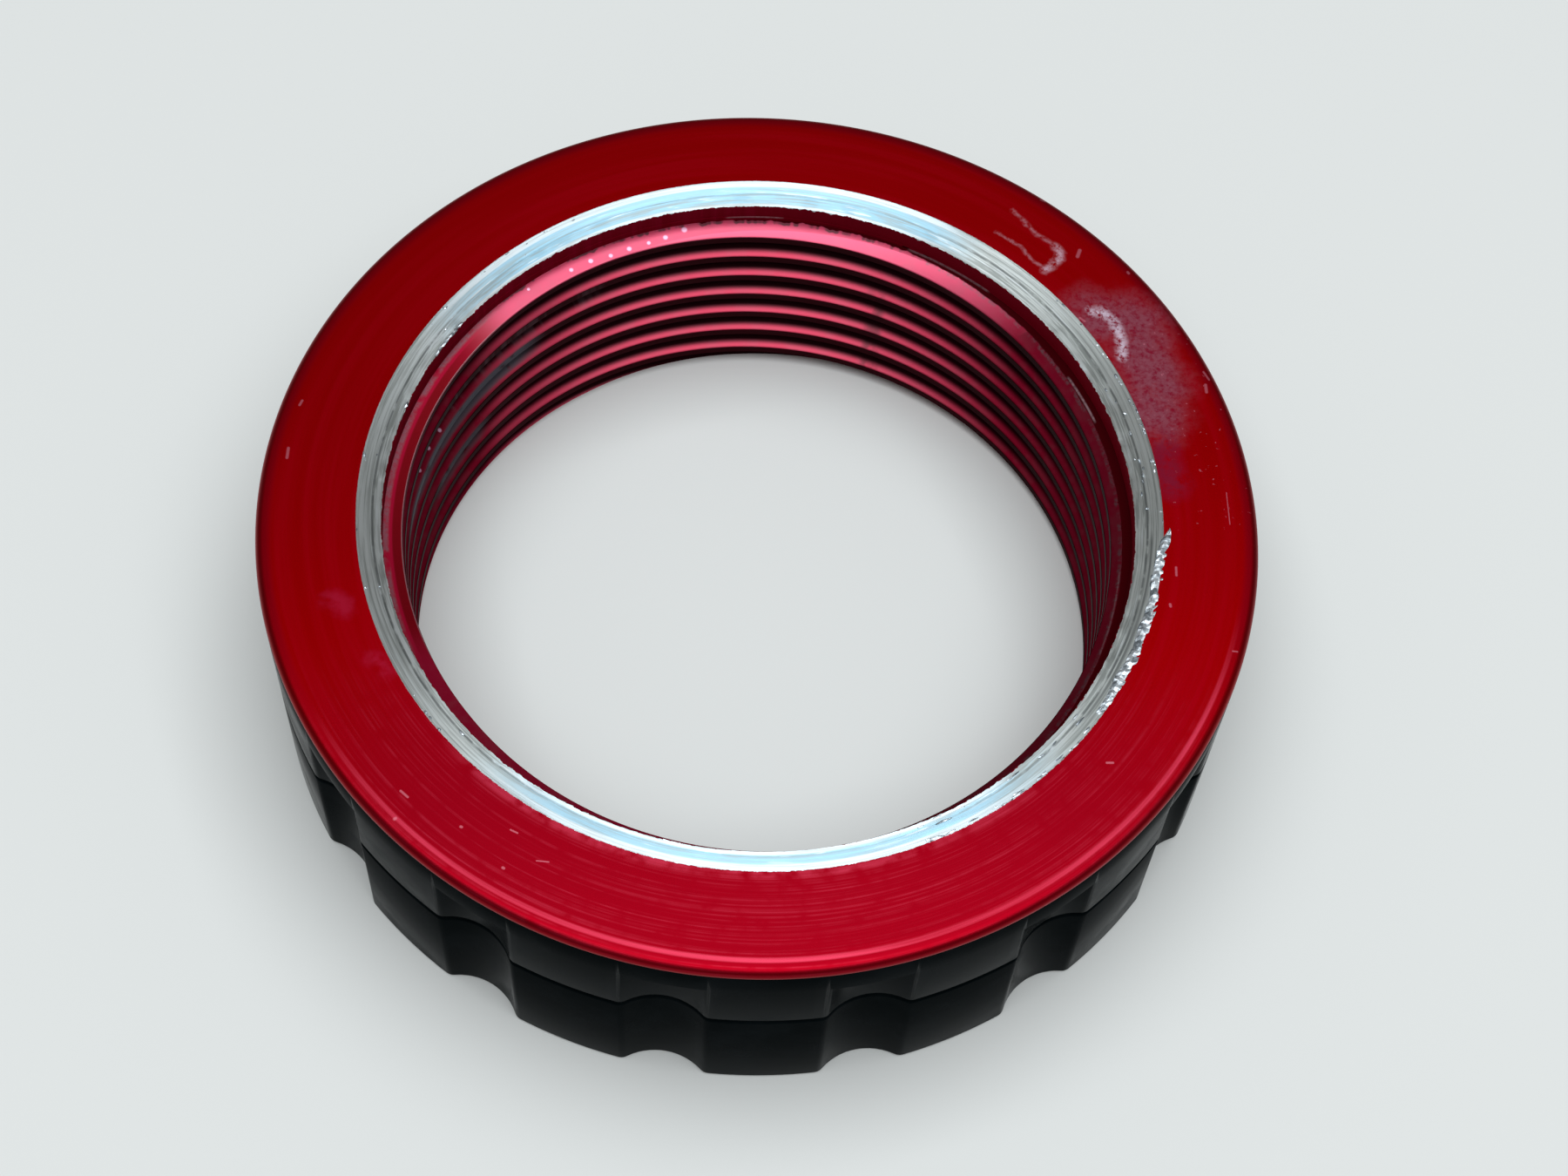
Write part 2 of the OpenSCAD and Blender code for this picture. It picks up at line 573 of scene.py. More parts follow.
class Wire:
    """A node's socket that takes part in Python expressions."""

    def __init__(self, tree, socket):
        self.tree = tree
        self.socket = socket

    def node(self, kind, settings=None, inputs=None, output=0):
        """Adds a node, makes its settings, fills its sockets and gives one of its outputs."""
        node = self.tree.nodes.new("ShaderNode" + kind)
        for name, value in (settings or {}).items():
            setattr(node, name, value)
        for name, value in (inputs or {}).items():
            plug(self.tree, value, node.inputs[name])
        return Wire(self.tree, node.outputs[output])

    def maths(self, operation, *values, clamp=False):
        """One operation on numbers."""
        settings = {"operation": operation, "use_clamp": clamp}
        return self.node("Math", settings, dict(enumerate(values)))

    def vector(self, operation, *values, output=0):
        """One operation on vectors."""
        return self.node("VectorMath", {"operation": operation}, dict(enumerate(values)), output)

    def __add__(self, other):
        return self.maths("ADD", self, other)

    def __radd__(self, other):
        return self.maths("ADD", other, self)

    def __sub__(self, other):
        return self.maths("SUBTRACT", self, other)

    def __rsub__(self, other):
        return self.maths("SUBTRACT", other, self)

    def __mul__(self, other):
        return self.maths("MULTIPLY", self, other)

    def __rmul__(self, other):
        return self.maths("MULTIPLY", other, self)

    def __truediv__(self, other):
        return self.maths("DIVIDE", self, other)

    def __or__(self, other):
        return self.maths("MAXIMUM", self, other)

    def __and__(self, other):
        return self.maths("MULTIPLY", self, other)

    def rises(self, low, high):
        """0 below low, 1 above high, and a smooth step between."""
        inputs = {"Value": self, "From Min": low, "From Max": high}
        return self.node("MapRange", {"interpolation_type": "SMOOTHSTEP"}, inputs)

    def falls(self, low, high):
        """1 below low, 0 above high, and a smooth step between."""
        return self.rises(high, low)

    def between(self, low, high, soft):
        """1 between low and high, with soft edges."""
        return self.rises(low - soft, low + soft) & self.falls(high - soft, high + soft)

    def scaled(self, vector, factor):
        """A vector times a factor, where either may be a wire."""
        return self.node("VectorMath", {"operation": "SCALE"}, {0: vector, "Scale": factor})

    def to(self, other, share):
        """The colour a share of the way from this one to another."""
        return blend(self.tree, self, other, share)


def plug(tree, value, socket):
    """Links a wire to a socket, or sets the socket to a plain value."""
    if isinstance(value, Wire):
        tree.links.new(value.socket, socket)
    elif isinstance(value, tuple) and len(value) == 3 and socket.type == "RGBA":
        socket.default_value = (*value, 1)
    else:
        socket.default_value = value


def blend(tree, first, second, share):
    """Mixes two colours."""
    node = tree.nodes.new("ShaderNodeMix")
    node.data_type = "RGBA"
    plug(tree, share, node.inputs[MIX_SHARE])
    plug(tree, first, node.inputs[MIX_FIRST])
    plug(tree, second, node.inputs[MIX_SECOND])
    return Wire(tree, node.outputs[MIX_RESULT])


class Finish:
    """A material being made: its places on the piece and the shader that is being set."""

    def __init__(self, name):
        self.material = bpy.data.materials.new(name)
        self.material.use_nodes = True
        self.tree = self.material.node_tree
        self.shader = self.tree.nodes["Principled BSDF"]
        coordinates = self.tree.nodes.new("ShaderNodeTexCoord")
        metres = Wire(self.tree, coordinates.outputs["Object"])
        self.place = metres.scaled(metres, 1 / MM)
        self.x = self.axis(0)
        self.y = self.axis(1)
        self.z = self.axis(2)
        self.flat = self.x.node("CombineXYZ", None, {0: self.x, 1: self.y})

    def axis(self, index):
        """One coordinate of the place, in millimetres."""
        return self.place.node("SeparateXYZ", None, {0: self.place}, index)

    def radius(self, centre=(0, 0)):
        """Distance from an upright line through the centre, in millimetres."""
        dx = self.x - centre[0]
        dy = self.y - centre[1]
        return self.x.maths("SQRT", dx * dx + dy * dy)

    def facing(self, heading, half_width, soft):
        """1 within an angle either side of a heading from the axis, in degrees."""
        turn = math.radians(heading)
        along = (self.x * math.cos(turn) + self.y * math.sin(turn)) / self.radius()
        full = math.cos(math.radians(half_width))
        none = math.cos(math.radians(half_width + soft))
        return along.rises(none, full)

    def noise(self, scale, detail=2.0, roughness=0.5, place=None):
        """Cloudy noise at that many cells to the millimetre."""
        inputs = {"Vector": place or self.place, "Scale": scale, "Detail": detail,
                  "Roughness": roughness}
        return self.x.node("TexNoise", None, inputs)

    def fine(self):
        """The finest grain of the dye."""
        return self.noise(6.0, detail=4.0, roughness=0.7)

    def coarse(self):
        """Patches about a millimetre wide."""
        return self.noise(1.3, detail=3.0)

    def around(self, scale):
        """Noise that changes only with the heading from the axis, as if it were drawn upright."""
        x = self.x / self.radius() * CREST_R
        y = self.y / self.radius() * CREST_R
        return self.noise(scale, 2.0, 0.65, self.x.node("CombineXYZ", None, {0: x, 1: y}))

    def turned_lines(self, radius, density, drift):
        """Noise drawn out along the circles that a turning tool leaves."""
        across = radius * density
        wander_x = self.x / self.radius() * drift
        wander_y = self.y / self.radius() * drift
        point = self.x.node("CombineXYZ", None, {0: across, 1: wander_x, 2: wander_y})
        return self.noise(1.0, detail=3.0, roughness=0.6, place=point)

    def warped(self, scale, amount):
        """The place on the face, shifted this way and that so that marks wander."""
        inputs = {"Vector": self.place, "Scale": scale, "Detail": 3.0}
        drift = self.x.node("TexNoise", None, inputs, "Color")
        centred = drift.vector("SUBTRACT", drift, (0.5, 0.5, 0.5))
        return self.flat.vector("MULTIPLY_ADD", centred, (amount, amount, 0), self.flat)

    def stroke(self, start, end, width, core=0.35, place=None):
        """1 along a straight mark on the face from start to end, 0 beyond its width."""
        run = (end[0] - start[0], end[1] - start[1], 0)
        length = run[0] ** 2 + run[1] ** 2
        place = place or self.flat
        reach = place.vector("SUBTRACT", place, (*start, 0))
        share = reach.vector("DOT_PRODUCT", reach, run, output="Value")
        share = share.maths("MULTIPLY", share, 1 / length, clamp=True)
        distance = reach.vector("DISTANCE", reach, share.scaled(run, share), output="Value")
        return distance.falls(width * core, width)

    def trace(self, points, width, core, place):
        """1 along a mark that runs through several points of the face."""
        mark = self.stroke(points[0], points[1], width, core, place)
        for start, end in zip(points[1:], points[2:]):
            mark = mark | self.stroke(start, end, width, core, place)
        return mark

    def spot(self, x, y, z, size):
        """1 within a size of a point on the piece, in millimetres."""
        distance = self.place.vector("DISTANCE", self.place, (x, y, z), output="Value")
        return distance.falls(size * 0.4, size)

    def cover(self, share):
        """Lays another surface over this one where the share is 1, and goes on with it."""
        below = self.shader
        self.shader = self.tree.nodes.new("ShaderNodeBsdfPrincipled")
        mix = self.tree.nodes.new("ShaderNodeMixShader")
        plug(self.tree, share, mix.inputs[0])
        self.tree.links.new(below.outputs[0], mix.inputs[1])
        self.tree.links.new(self.shader.outputs[0], mix.inputs[2])
        surface = self.tree.nodes["Material Output"].inputs["Surface"]
        self.tree.links.new(mix.outputs[0], surface)

    def set(self, **sockets):
        """Plugs values into the shader, by socket names with underscores for spaces."""
        for name, value in sockets.items():
            plug(self.tree, value, self.shader.inputs[name.replace("_", " ")])

    def bump(self, height, strength, distance):
        """Raises the surface by a height in millimetres times the distance."""
        inputs = {"Height": height, "Strength": strength, "Distance": distance * MM}
        self.set(Normal=self.x.node("Bump", None, inputs))


# ---------------------------------------------------------------- red anodising

# The dye on the face, from its back to its front and rim, with painted shade on the front and on
# the rim, a painted highlight on the rim and painted sheen on the front
FACE_RED = (0.31, 0.0, 0.001)
WARM_RED = (0.35, 0.0005, 0.006)
FRONT_SHADE_RED = (0.25, 0.0008, 0.007)
RIM_SHADE_RED = (0.24, 0.0004, 0.005)
GLINT_RED = (0.72, 0.06, 0.12)
SHEEN_PINK = (0.58, 0.05, 0.10)
SMUDGE_RED = (0.42, 0.014, 0.05)

# The dye in the recess and the bore, with painted shade on the recess wall, the ledge, the groove
# roots and the crests, and painted highlights on the lit flanks and ledge
RECESS_SHADE_RED = (0.17, 0.001, 0.009)
FLANK_RED = (0.25, 0.003, 0.022)
FLANK_HIGHLIGHT_PINK = (0.42, 0.022, 0.06)
LEDGE_HIGHLIGHT_PINK = (0.58, 0.05, 0.12)
SHADED_LEDGE_RED = (0.30, 0.002, 0.022)
SHADED_INNER_RED = (0.15, 0.0004, 0.004)
OUTER_LEDGE_SHADE_RED = (0.045, 0.0004, 0.002)
ROOT_SHADE_RED = (0.02, 0.0006, 0.003)
CREST_SHADE_RED = (0.010, 0.0004, 0.001)

# Dirt, residue and wear
DUST = (0.16, 0.10, 0.12)
DOT_PINK = (0.78, 0.46, 0.66)
SOOT = (0.03, 0.02, 0.022)
WORN_CREST = (0.085, 0.085, 0.105)
SCRAPE = (0.50, 0.32, 0.36)
SPARK = (0.62, 0.18, 0.24)
CHALK = (0.60, 0.50, 0.60)
VEIL_RED = (0.21, 0.010, 0.034)

# Headings from the bore's axis, in degrees: middle, half width and softness
LIT_SHARP = (118, 30, 10)
LIT_SLOW = (92, 22, 22)
SOOTY = (112, 32, 10)
SHADED = (182, 27, 10)
SHADED_INNER = (195, 30, 16)
WORN_WIDE = (164, 17, 8)
WORN_NARROW = (163, 5, 5)
BROKEN = (79, 0.5, 1.6)
SMEARED = (148, 16, 6)
GLEAMING = (128, 22, 12)
GRAINY = (25, 12, 8)
FRONT = (-80, 38, 34)
FRONT_RIM = (-78, 55, 25)
FRONT_GLINT = (-72, 48, 22)
FRONT_SHEEN = (-82, 34, 14)
TORN_EDGE = (-75, 50, 12)

# Heights up the thread at heading 0, which follow its lead round the bore
RUN_OUT = (9.7, 9.85)
WORN_UPPER = (5.40, 6.84)
WORN_LOWER = (2.40, 3.84)
SMEAR = (6.9, 8.3)

# Outside this circle the ledge carries painted shade, and dust has settled along the circle.
LEDGE_CENTRE = (-0.28, 0.05)
LEDGE_R = 16.40

# Marks of dried residue on the face: their points, in millimetres from the bore's axis
DROP_OUTER = ((8.74, 18.38), (9.29, 17.97), (10.02, 17.26), (10.6, 16.98), (11.2, 16.6))
DROP_END = ((11.0, 16.7), (11.28, 16.4), (11.28, 16.05), (11.05, 15.6), (10.69, 15.27))
DROP_INNER = ((10.69, 15.25), (10.39, 15.47), (9.84, 15.86), (9.41, 16.4), (8.15, 16.99))
VEIL = ((13.4, 13.1), (15.0, 13.2), (15.8, 11.2), (16.7, 9.6), (16.5, 8.3))
VEIL_TAIL = ((17.2, 7.7), (17.2, 5.9), (17.7, 4.8))
CHALK_CORE = (
    (13.14, 13.32), (13.57, 13.4), (14.0, 13.18), (14.35, 12.66), (14.68, 11.96), (14.77, 11.14),
)

# The widths of those marks
DROP_OUTER_WIDTH = 0.19
DROP_END_WIDTH = 0.34
DROP_INNER_WIDTH = 0.15
VEIL_WIDTH = 2.3
TAIL_WIDTH = 1.3
CORE_WIDTH = 0.5

# Faint smudges on the face: start, end and width
SMUDGES = (
    ((-14.67, -10.79), (-14.17, -11.09), 0.7),
    ((-17.08, -8.16), (-16.58, -8.46), 0.8),
)

# Bright nicks on the face: start, end and width
NICKS = (
    ((-12.11, -16.43), (-11.76, -16.65), 0.07),
    ((-5.95, -18.44), (-5.45, -18.40), 0.04),
    ((-12.05, -17.71), (-12.02, -17.68), 0.10),
    ((-9.32, -17.54), (-9.28, -17.55), 0.08),
    ((-7.23, -19.00), (-7.18, -19.02), 0.08),
    ((12.09, 16.34), (12.15, 16.72), 0.12),
    ((12.62, 12.89), (12.85, 12.75), 0.08),
    ((18.53, 11.04), (18.82, 10.67), 0.07),
    ((18.69, 10.34), (18.77, 9.96), 0.10),
    ((10.00, 19.32), (10.15, 19.28), 0.09),
    ((14.50, 15.93), (14.55, 15.87), 0.09),
    ((18.36, 0.50), (18.42, 0.10), 0.07),
    ((18.30, -1.40), (18.33, -1.50), 0.08),
    ((20.17, 4.77), (20.48, 3.16), 0.03),
    ((21.20, -3.18), (21.40, -3.16), 0.05),
    ((16.48, -9.54), (16.73, -9.49), 0.07),
    ((-7.29, -17.29), (-6.98, -17.38), 0.05),
    ((-20.95, -1.10), (-20.88, -1.60), 0.09),
    ((-21.05, 1.20), (-21.00, 1.45), 0.08),
)

# Pale dots that lie on the ledge and on the third flank: heading, radius, height and size
DOTS = (
    (141.2, 16.3, 10.45, 0.10),
    (133.2, 16.07, 10.42, 0.13),
    (129.5, 16.07, 10.42, 0.15),
    (126.0, 15.95, 10.4, 0.13),
    (122.6, 15.98, 10.4, 0.15),
    (119.1, 16.0, 10.4, 0.12),
    (116.1, 16.08, 10.42, 0.15),
    (112.7, 16.3, 10.45, 0.18),
    (167.0, 15.92, 7.65, 0.13),
    (171.0, 15.98, 7.68, 0.13),
    (175.5, 15.95, 7.68, 0.13),
)

# Light scrapes in the recess: heading, half width, radii and heights
SCRAPES = (
    (-5.0, 7.0, 16.05, 16.10, 9.90, 10.60),
    (35.0, 4.0, 16.25, 16.33, 10.20, 10.60),
    (67.5, 7.0, 16.48, 16.60, 10.50, 10.57),
    (101.0, 4.0, 16.50, 16.60, 10.66, 10.75),
)


def lit_side(finish):
    """1 where the bore catches the light, with a sharp left end and a slow right one."""
    return finish.facing(*LIT_SHARP) | finish.facing(*LIT_SLOW)


def thread_height(finish):
    """Height along the thread's lead: the same on one crest or groove all round the bore."""
    turn = finish.x.maths("ARCTAN2", 0 - finish.x, finish.y) + math.pi / 2
    return finish.z - turn * (PITCH / TAU)


def worn_crests(finish, lead):
    """The share of wear on two turns of the thread."""
    worn = lead.between(*WORN_UPPER, 0.05) & finish.facing(*WORN_WIDE)
    return worn | (lead.between(*WORN_LOWER, 0.05) & finish.facing(*WORN_NARROW)) * 0.6


def shaded_ledge(finish, red, radius, fine, coarse):
    """Paints shade on the left end of the ledge, darkest inside, and makes it dusty outside and
    scraped at its edge.
    """
    left = finish.facing(*SHADED) & finish.z.rises(LEDGE_INNER_Z - 0.04, LEDGE_INNER_Z)
    # Painted shade on the left end of the ledge, darker towards its inner edge.
    red = red.to(SHADED_LEDGE_RED, left)
    red = red.to(SHADED_INNER_RED, left * radius.falls(16.1, 16.2) * finish.facing(*SHADED_INNER))
    grey = coarse.rises(0.3, 0.55) * (fine.rises(0.3, 0.6) * 0.4 + 0.3)
    red = red.to(DUST, left * radius.between(16.32, 16.6, 0.08) * grey)
    return red.to(SCRAPE, left * radius.falls(CREST_R + 0.05, CREST_R + 0.09) * 0.5)


def scraped(finish, red, fine):
    """Adds the light scrapes in the recess."""
    for heading, half, r_in, r_out, z_in, z_out in SCRAPES:
        mark = finish.facing(heading, half, 1) & finish.radius().between(r_in, r_out, 0.03)
        mark = mark & finish.z.between(z_in, z_out, 0.03)
        red = red.to(SCRAPE, mark * (fine.rises(0.3, 0.6) * 0.3 + 0.15))
    return red


def dotted(finish, red):
    """Adds the pale dots."""
    for heading, r, z, size in DOTS:
        turn = math.radians(heading)
        dot = finish.spot(r * math.cos(turn), r * math.sin(turn), z, size)
        red = red.to(DOT_PINK, dot * 0.85)
    return red


def red_bore():
    """The dyed thread and its ledge, with painted highlights on the lit side, painted shade on the
    crests, in the roots and on the ledge, and the dust, soot and wear of use.
    """
    finish = Finish("red_bore")
    radius = finish.radius()
    fine = finish.fine()
    coarse = finish.coarse()
    around = finish.around(1.6)
    lead = thread_height(finish)
    top = lead.rises(*RUN_OUT) | finish.z.rises(LEDGE_INNER_Z - 0.05, LEDGE_INNER_Z - 0.02)
    lit = lit_side(finish)
    sooty = finish.facing(*SOOTY)
    edge = finish.radius(LEDGE_CENTRE) + (around - 0.5) * (sooty * 0.35 + 0.15)
    crest = radius.falls(CREST_R + 0.012, CREST_R + 0.04)
    deep = (1 - top) * radius.rises(CREST_R + 0.14, CREST_R + 0.42)
    # Painted shade on the ledge outside its circle.
    outer_shade = top & edge.rises(LEDGE_R - 0.03, LEDGE_R + 0.03)

    # Painted highlight: the flanks and the ledge turn pink on the lit side.
    red = blend(finish.tree, FLANK_RED, FLANK_HIGHLIGHT_PINK, lit).to(LEDGE_HIGHLIGHT_PINK, lit * top)
    red = red.to(DUST, (coarse.rises(0.4, 0.65) | fine.rises(0.55, 0.8)) * 0.1)
    # Painted shade deep in the grooves and on the crests, and on the ledge outside its circle.
    red = red.to(ROOT_SHADE_RED, deep).to(CREST_SHADE_RED, crest * 0.96).to(OUTER_LEDGE_SHADE_RED, outer_shade)
    line = edge.between(LEDGE_R - 0.13, LEDGE_R, 0.05) & top
    dusty = around.rises(0.35, 0.6) * fine.rises(0.35, 0.6)
    red = red.to(DUST, line * (1 - sooty) * dusty * 0.7)
    red = red.to(SOOT, line * sooty * around.rises(0.42, 0.55) * 0.85)
    red = shaded_ledge(finish, red, radius, fine, coarse)
    worn = worn_crests(finish, lead)
    red = red.to(WORN_CREST, worn * coarse.rises(0.2, 0.45) * 0.8)
    # A thin dark streak down the lower turns, in the colour of the roots' painted shade.
    broken = finish.facing(*BROKEN) & coarse.rises(0.35, 0.6) & finish.z.falls(6.8, 7.6)
    red = red.to(ROOT_SHADE_RED, broken * 0.6)
    smear = lead.between(*SMEAR, 0.1) & finish.facing(*SMEARED)
    red = red.to(DUST, smear * around.rises(0.45, 0.65) * 0.2)
    red = dotted(finish, scraped(finish, red, fine))

    # The metal is made dull on the painted shade of the crests, roots and outer ledge, and half
    # dull on the wear.
    bright = 1 - (crest | deep | outer_shade | worn * 0.5)
    upper = finish.z.rises(9.9, 10.1)
    finish.set(
        Base_Color=red,
        Metallic=bright,
        Roughness=0.38,
        Specular_IOR_Level=0.01,
        Coat_Weight=bright * (0.08 + lit * (0.35 + upper * 0.45)),
        Coat_Roughness=0.28,
    )
    finish.bump(fine, 0.25, 0.004)
    return finish.material


def residue(finish):
    """Dried residue on the face: the shares of its dark veil and of its chalky parts."""
    mottle = finish.noise(1.1, detail=6.0, roughness=0.75)
    grains = finish.noise(3.2, detail=4.0, roughness=0.75)
    wander = finish.warped(1.4, 0.5)
    veil = finish.trace(VEIL, VEIL_WIDTH, 0.1, finish.warped(0.7, 1.8)) * mottle.rises(0.15, 0.5)
    tail = finish.trace(VEIL_TAIL, TAIL_WIDTH, 0.1, wander) * mottle.rises(0.3, 0.55)
    core = finish.trace(CHALK_CORE, CORE_WIDTH, 0.0, wander) * grains.rises(0.36, 0.56)
    drift = finish.warped(2.6, 0.28)
    outer = finish.trace(DROP_OUTER, DROP_OUTER_WIDTH, 0.0, drift)
    inner = finish.trace(DROP_INNER, DROP_INNER_WIDTH, 0.0, drift)
    end = finish.trace(DROP_END, DROP_END_WIDTH, 0.0, drift)
    drop = (outer | inner) * 0.24 | end * 0.6
    chalk = veil * 0.11 * grains.rises(0.3, 0.6) | drop * grains.rises(0.32, 0.6) | core * 0.85
    return veil * 0.85 | tail * 0.8, chalk


def nicks(finish):
    """Small bright nicks, and the grains that lie round the residue."""
    grains = finish.noise(3.2, detail=3.0, roughness=0.7)
    marks = grains.rises(0.66, 0.71) & finish.facing(*GRAINY) & finish.radius().rises(17.9, 18.5)
    for start, end, width in NICKS:
        marks = marks | finish.stroke(start, end, width)
    return marks


def turned_face(finish, radius, band_radius, lines, hairs, coarse):
    """The dye on the face up to its rim, with its painted shade and highlight, and the share of
    painted sheen that lies along the band.
    """
    front = finish.facing(*FRONT)
    red = blend(finish.tree, FACE_RED, WARM_RED, lines.rises(0.35, 0.7) * 0.6)
    # Painted shade: the front of the face is a darker, bluer red than the rest.
    red = red.to(FRONT_SHADE_RED, front)
    # Painted sheen: pale pink streaks along the turning lines on the front.
    red = red.to(SHEEN_PINK, front * hairs.rises(0.45, 0.75) * coarse.rises(0.25, 0.6) * 0.22)
    # Painted shade on the rounded rim, all round but the front.
    red = red.to(RIM_SHADE_RED, radius.rises(21.2, 21.55) * (1 - finish.facing(*FRONT_RIM)))
    # Painted highlight: a light pink line just inside the rim, at the front.
    glint = radius.between(21.24, 21.44, 0.05) & finish.facing(*FRONT_GLINT)
    red = red.to(GLINT_RED, glint * lines.rises(0.2, 0.6) * 0.6)
    wander = finish.warped(1.1, 1.2)
    for start, end, width in SMUDGES:
        smudge = finish.stroke(start, end, width, 0.1, wander)
        red = red.to(SMUDGE_RED, smudge * coarse.rises(0.3, 0.6) * 0.5)
    # Painted sheen: a pale pink glow on the face just outside the band, at the front.
    painted_sheen = band_radius.between(BAND_R - 0.1, BAND_R + 0.32, 0.12) & finish.facing(*FRONT_SHEEN)
    return red, painted_sheen * lines.rises(0.3, 0.6) * coarse.rises(0.3, 0.6) * 0.4


def red_anodised():
    """Dyed aluminium: a turned face, a polished recess and a bare band round its mouth, with
    painted shade and a painted reflection on the recess wall.
    """
    finish = Finish("red_anodised")
    radius = finish.radius()
    band_radius = finish.radius(BAND_CENTRE)
    fine = finish.fine()
    coarse = finish.coarse()
    on_face = finish.z.rises(FACE_Z - 0.3, FACE_Z - 0.2)
    lines = finish.turned_lines(radius, 2.2, 1.0)
    hairs = finish.turned_lines(radius, 9.0, 1.2)
    streaks = finish.turned_lines(band_radius, 11.0, 3.0)
    wall = radius.falls(16.6, 16.7)

    red, painted_sheen = turned_face(finish, radius, band_radius, lines, hairs, coarse)
    veil, chalk = residue(finish)
    red = red.to(VEIL_RED, veil & on_face).to(CHALK, chalk & on_face).to(SHEEN_PINK, painted_sheen)
    red = red.to(SPARK, nicks(finish) * on_face * 0.5)
    # Painted shade on the recess wall, which is also made dull, and a painted reflection of the
    # lit ledge streaked across it on the lit side.
    gleam = finish.facing(*GLEAMING) & finish.around(2.5).rises(0.4, 0.7)
    red = red.to(RECESS_SHADE_RED, wall).to(FLANK_RED, wall * gleam * 0.5)
    red = scraped(finish, red, fine)
    finish.set(
        Base_Color=red,
        Metallic=1 - (wall | (chalk & on_face)),
        Roughness=0.38 + (veil * 0.1 + chalk * 0.25) * on_face + lines * 0.04,
        Specular_IOR_Level=0.01,
        Anisotropic=0.25,
        Anisotropic_Rotation=0.25,
    )
    finish.bump(lines * 0.25 + streaks * 0.1, 0.25, 0.02)

    torn = finish.facing(*TORN_EDGE) * 0.10 + 0.04
    outer = (band_radius + (fine - 0.5) * torn).falls(BAND_R - 0.012, BAND_R + 0.012)
    mouth = radius + (finish.z - (FACE_Z - 0.1)) * 0.5 + (finish.around(4.0) - 0.5) * 0.22
    finish.cover(outer & mouth.rises(RECESS_R - 0.005, RECESS_R + 0.015))
    bare_band(finish, radius, band_radius, streaks, coarse)
    return finish.material


# ---------------------------------------------------------------- bare and torn aluminium

BARE_METAL = (0.78, 0.82, 0.81)
REFLECTED_BLUE_METAL = (0.42, 0.70, 0.87)
DULL_METAL = (0.44, 0.47, 0.46)
WHITE_RIDGE_AND_HIGHLIGHT = (0.88, 0.93, 0.96)
TRACK_METAL = (0.12, 0.13, 0.135)
TORN_BRIGHT = (0.72, 0.77, 0.82)
TORN_DARK = (0.25, 0.28, 0.31)

# Headings from the bore's axis, in degrees: middle, half width and softness
REFLECTION_BACK = (112, 38, 12)
REFLECTION_FRONT = (-78, 24, 25)
HIGHLIGHT_LEFT = (186, 28, 20)
GAP = (-10, 15, 3)


def bare_band(finish, radius, band_radius, streaks, coarse):
    """Sets the shader to turned bare aluminium: smooth outside its track, rough inside it. Its
    bluish back and front are painted reflection, and its white left side and edges painted
    highlight.
    """
    # Painted reflection: the band turns bluish at its back and its front.
    reflected_blue = finish.facing(*REFLECTION_BACK) | finish.facing(*REFLECTION_FRONT)
    rough = band_radius.falls(BAND_R - 0.66, BAND_R - 0.58)
    ridges = finish.turned_lines(band_radius, 6.0, 7.0)
    metal = blend(finish.tree, BARE_METAL, REFLECTED_BLUE_METAL, reflected_blue)
    # Painted highlight on the band's left side.
    metal = metal.to(WHITE_RIDGE_AND_HIGHLIGHT, finish.facing(*HIGHLIGHT_LEFT) * 0.45)
    # Painted highlight along both edges of the band at its back and front.
    rims = band_radius.rises(BAND_R - 0.36, BAND_R - 0.28)
    rims = rims | radius.falls(RECESS_R + 0.1, RECESS_R + 0.2)
    metal = metal.to(WHITE_RIDGE_AND_HIGHLIGHT, reflected_blue * rims * 0.85)
    metal = metal.to(DULL_METAL, streaks.rises(0.42, 0.7) * (1 - reflected_blue * 0.45))
    metal = metal.to(DULL_METAL, ridges.rises(0.5, 0.62) * (0.35 + rough * 0.5) * (1 - reflected_blue * 0.4))
    metal = metal.to(WHITE_RIDGE_AND_HIGHLIGHT, ridges.falls(0.34, 0.42) * (0.3 + rough * 0.5))
    track = band_radius.between(TRACK_R - 0.05, TRACK_R + 0.05, 0.03)
    track = track * coarse.rises(0.3, 0.5) * (0.65 - reflected_blue * 0.5)
    gap = band_radius.between(BAND_R - 0.56, BAND_R - 0.46, 0.03) & finish.facing(*GAP)
    finish.set(
        Base_Color=metal.to(TRACK_METAL, track | gap * 0.6),
        Metallic=1.0,
        Roughness=0.38 + streaks * 0.14,
        Anisotropic=0.96,
        Anisotropic_Rotation=0.25,
    )
    finish.bump(streaks + ridges * (0.4 + rough), 0.35, 0.02)


def torn_metal():
    """Freshly torn aluminium."""
    finish = Finish("torn_aluminium")
    grain = finish.noise(3.0, detail=3.0, roughness=0.6)
    colour = blend(finish.tree, TORN_BRIGHT, TORN_DARK, grain.rises(0.42, 0.6))
    finish.set(Base_Color=colour, Metallic=1.0, Roughness=0.3 + grain * 0.2)
    finish.bump(grain, 0.3, 0.05)
    return finish.material


# ---------------------------------------------------------------- black anodising

BLACK_DYE = (0.0015, 0.003, 0.0035)
HANDLED_BLACK = (0.004, 0.006, 0.007)
SPECK_GREY = (0.06, 0.065, 0.065)


def black_anodised():
    """Polished dark anodising with faint handling marks."""
    finish = Finish("black_anodised")
    smudge = finish.noise(0.35, detail=5.0, roughness=0.6)
    specks = finish.noise(3.5, detail=3.0, roughness=0.8)
    colour = blend(finish.tree, BLACK_DYE, HANDLED_BLACK, smudge.rises(0.4, 0.7))
    colour = colour.to(SPECK_GREY, specks.rises(0.74, 0.8) * 0.4)
    finish.set(
        Base_Color=colour,
        Metallic=0.0,
        Roughness=0.12 + smudge.rises(0.35, 0.75) * 0.14,
        Specular_IOR_Level=0.004,
    )
    finish.bump(smudge, 0.1, 0.02)
    return finish.material


# ---------------------------------------------------------------- stage

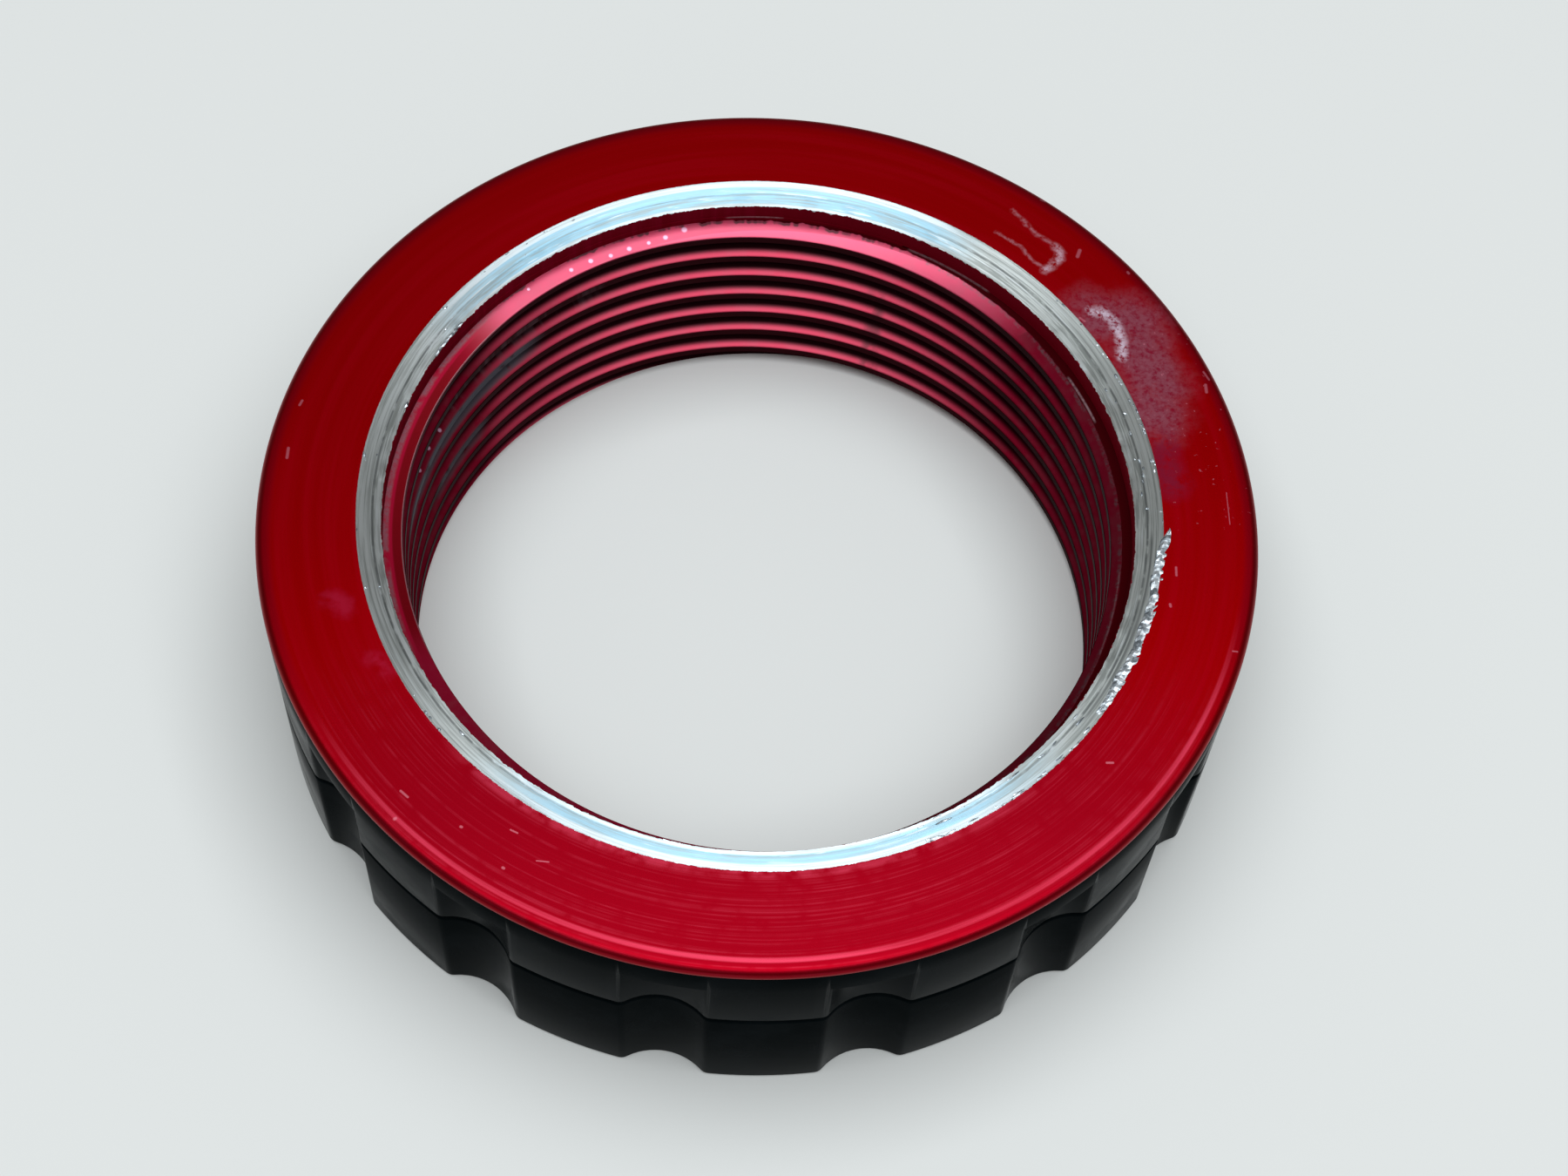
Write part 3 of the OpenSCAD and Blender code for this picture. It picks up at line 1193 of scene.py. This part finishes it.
FLOOR_SIZE = 6000
FLOOR_DROP = 0.03
FLOOR_WHITE = (0.78, 0.78, 0.77)

ROOM_WHITE = (0.92, 0.91, 0.89)
ROOM_STRENGTH = 0.22

LAMP_PLACE = Vector((30, -60, 550))
LAMP_AIM = Vector((0, 0, 6))
LAMP_SIZE = (550, 580)
LAMP_POWER = 3.4
LAMP_WHITE = (0.92, 0.98, 1.0)

# The camera looks at its aim from an azimuth and an elevation, rolled, all in degrees.
CAMERA_AZIMUTH = 6.057
CAMERA_ELEVATION = 60.04
CAMERA_ROLL = 4.473
CAMERA_AIM = Vector((1.386, -0.530, 5.8))
CAMERA_DISTANCE = 127.6
CAMERA_SENSOR = 36
CAMERA_LENS = 64.28
CAMERA_NEAR, CAMERA_FAR = 5, 20000


def pale_floor():
    """A wide pale floor that disappears when it is seen from below."""
    bpy.ops.object.select_all(action="DESELECT")
    bpy.ops.mesh.primitive_plane_add(size=FLOOR_SIZE * MM, location=(0, 0, -FLOOR_DROP * MM))
    floor = bpy.context.object
    floor.name = "floor"
    material = bpy.data.materials.new("pale_floor")
    material.use_nodes = True
    tree = material.node_tree
    shader = tree.nodes["Principled BSDF"]
    shader.inputs["Base Color"].default_value = (*FLOOR_WHITE, 1)
    shader.inputs["Roughness"].default_value = 0.75
    shader.inputs["Specular IOR Level"].default_value = 0.2
    clear = tree.nodes.new("ShaderNodeBsdfTransparent")
    side = tree.nodes.new("ShaderNodeNewGeometry")
    mix = tree.nodes.new("ShaderNodeMixShader")
    tree.links.new(side.outputs["Backfacing"], mix.inputs[0])
    tree.links.new(shader.outputs[0], mix.inputs[1])
    tree.links.new(clear.outputs[0], mix.inputs[2])
    tree.links.new(mix.outputs[0], tree.nodes["Material Output"].inputs["Surface"])
    floor.data.materials.append(material)


def light_room():
    """Dim even room light."""
    world = bpy.data.worlds.new("room")
    world.use_nodes = True
    background = world.node_tree.nodes["Background"]
    background.inputs["Color"].default_value = (*ROOM_WHITE, 1)
    background.inputs["Strength"].default_value = ROOM_STRENGTH
    bpy.context.scene.world = world


def hang_lamp():
    """One large soft lamp overhead, turned towards the part."""
    data = bpy.data.lights.new("overhead", "AREA")
    data.shape = "RECTANGLE"
    data.size, data.size_y = (side * MM for side in LAMP_SIZE)
    data.energy = LAMP_POWER
    data.color = LAMP_WHITE
    lamp = bpy.data.objects.new("overhead", data)
    bpy.context.scene.collection.objects.link(lamp)
    lamp.location = LAMP_PLACE * MM
    lamp.rotation_mode = "QUATERNION"
    lamp.rotation_quaternion = (LAMP_PLACE - LAMP_AIM).to_track_quat("Z", "Y")


def place_camera():
    """Looks down on the ring from its front, with the lens a little rolled."""
    azimuth = math.radians(CAMERA_AZIMUTH)
    elevation = math.radians(CAMERA_ELEVATION)
    back = Vector((
        math.sin(azimuth) * math.cos(elevation),
        -math.cos(azimuth) * math.cos(elevation),
        math.sin(elevation),
    ))
    data = bpy.data.cameras.new("camera")
    data.sensor_width = CAMERA_SENSOR
    data.lens = CAMERA_LENS
    data.clip_start, data.clip_end = CAMERA_NEAR * MM, CAMERA_FAR * MM
    camera = bpy.data.objects.new("camera", data)
    bpy.context.scene.collection.objects.link(camera)
    camera.location = (CAMERA_AIM + back * CAMERA_DISTANCE) * MM
    camera.rotation_mode = "QUATERNION"
    roll = Quaternion((0, 0, 1), math.radians(CAMERA_ROLL))
    camera.rotation_quaternion = back.to_track_quat("Z", "Y") @ roll
    bpy.context.scene.camera = camera


# ---------------------------------------------------------------- build

red = red_anodised()
bore = red_bore()
black = black_anodised()
torn = torn_metal()

sleeve = threaded_sleeve()
dress(sleeve, red, "sleeve", "flanged_sleeve")
face_material(sleeve, bore, in_thread)
dress(shoulder_ring(), black, "sleeve", "upper_ring")
dress(clamp_ring(), black, "lock_ring", "lock_ring")
dress(edge_burrs(), torn, "sleeve")

pale_floor()
light_room()
hang_lamp()
place_camera()
bpy.context.scene.view_settings.view_transform = "Standard"
